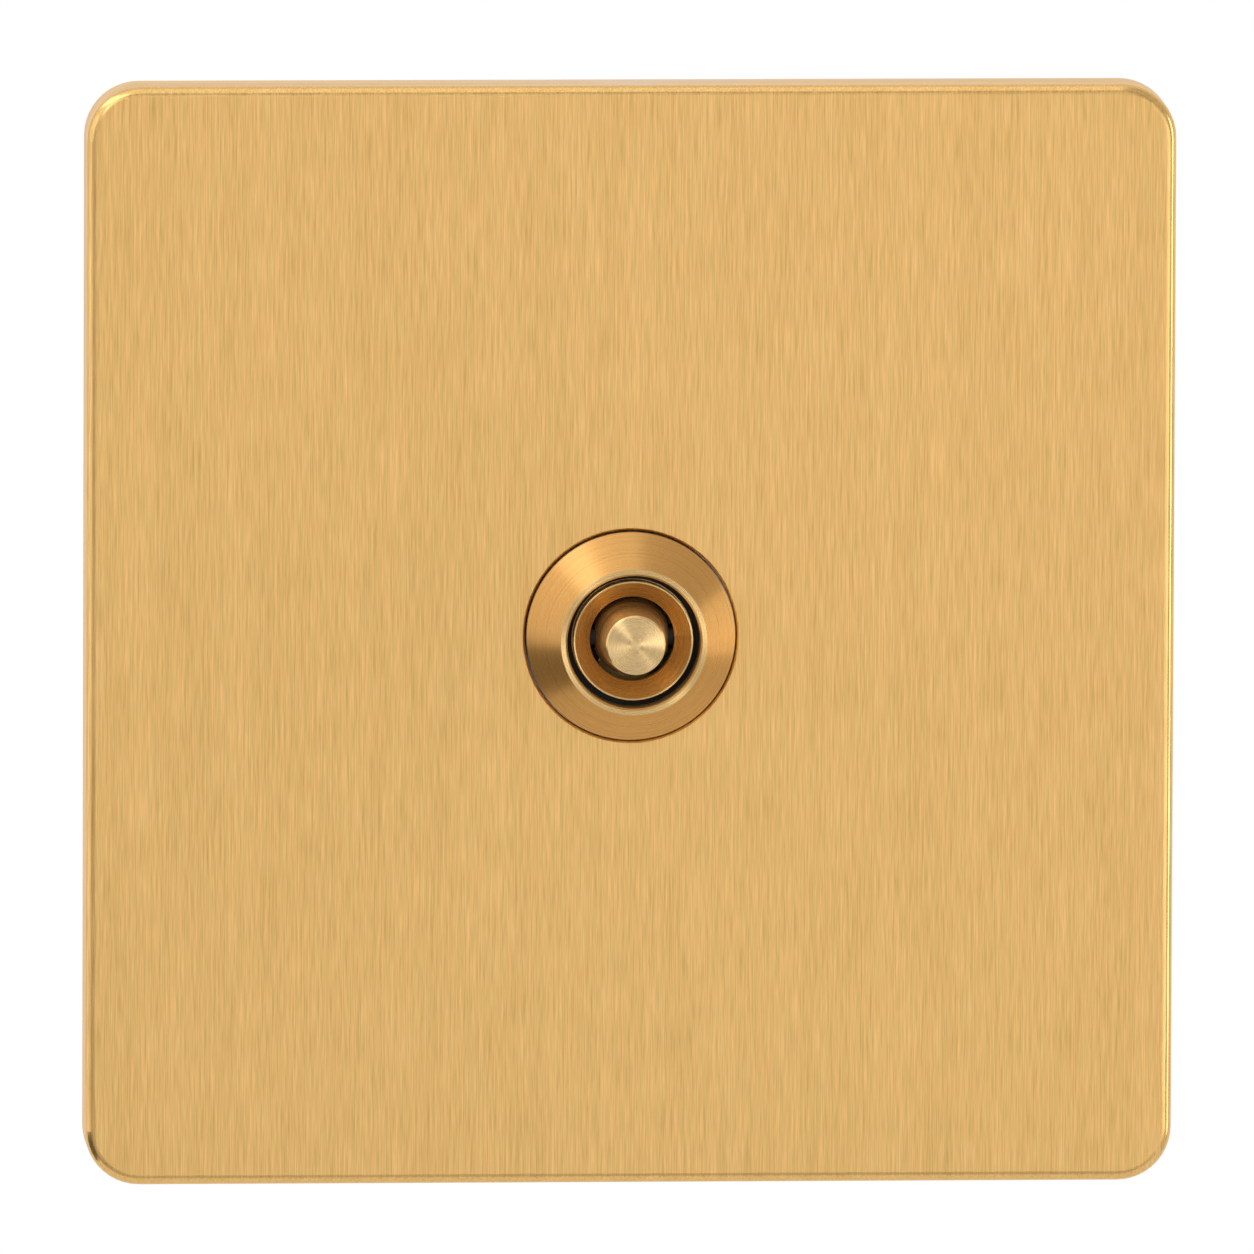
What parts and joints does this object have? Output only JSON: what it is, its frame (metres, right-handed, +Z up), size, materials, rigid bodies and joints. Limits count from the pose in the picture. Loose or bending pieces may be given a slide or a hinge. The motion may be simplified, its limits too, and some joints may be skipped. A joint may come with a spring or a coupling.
{
  "type": "toggle light switch",
  "caption": "Single-gang wall light switch with a brushed-brass screwless cover, a round turned bezel and a short toggle lever.",
  "frame": {"origin": "on the wall plane, midway between the two fixing holes, on the lever's axis", "axes": "+Z up, +Y into the wall, the front looks along -Y, +X to the viewer's right"},
  "size_m": [0.087, 0.0321, 0.0882],
  "materials": {
    "brushed_brass": "vertically brushed, lacquered",
    "turned_brass": "fine turned rings",
    "black_moulding": "moulded",
    "white_moulding": "moulded",
    "zinc_steel": "bright zinc plated",
    "steel": "bare",
    "black_steel": "blackened",
    "contact_brass": "drawn",
    "silver": "contact silver",
    "nylon": "moulded"
  },
  "bodies": {
    "wall_unit": {"front_plate": "brushed_brass", "plate_insert": "black_moulding", "mounting_frame": "zinc_steel", "lock_washer": "steel", "bezel": "turned_brass", "threaded_bush": "turned_brass", "dust_washer": "black_moulding", "pivot_pin": "black_steel", "common_terminal": "contact_brass", "upper_terminal": "contact_brass", "lower_terminal": "contact_brass", "upper_fixed_tip": "silver", "lower_fixed_tip": "silver", "upper_terminal_screw": "zinc_steel", "lower_terminal_screw": "zinc_steel", "common_terminal_screw": "zinc_steel", "module_body": "black_moulding", "module_base": "white_moulding", "upper_base_screw": "zinc_steel", "lower_base_screw": "zinc_steel", "earth_terminal": "contact_brass", "earth_screw": "zinc_steel"},
    "lever": {"toggle_lever": "turned_brass", "plunger_spring": "steel"},
    "plunger": {"plunger": "nylon"},
    "rocker": {"rocker_contact": "contact_brass", "upper_moving_tip": "silver", "lower_moving_tip": "silver"}
  },
  "joints": [
    {"name": "lever_tilt", "type": "hinge", "parent": "wall_unit", "child": "lever", "pos_m": [0, -0.0052, 0], "axis": [1, 0, 0], "range_deg": [-11, 11]},
    {"name": "rocker_tilt", "type": "hinge", "parent": "wall_unit", "child": "rocker", "pos_m": [0, 0.00605, 0], "axis": [1, 0, 0], "range_deg": [-5, 5]},
    {"name": "plunger_slide", "type": "slide", "parent": "lever", "child": "plunger", "axis": [0, -1, 0], "range_m": [0, 0.0006], "stiffness_N_per_m": 400, "springref_m": -0.001, "deforming": ["plunger_spring"]}
  ],
  "couplings": [
    {"joint": "rocker_tilt", "follows": "lever_tilt", "ratio": -0.4545}
  ]
}
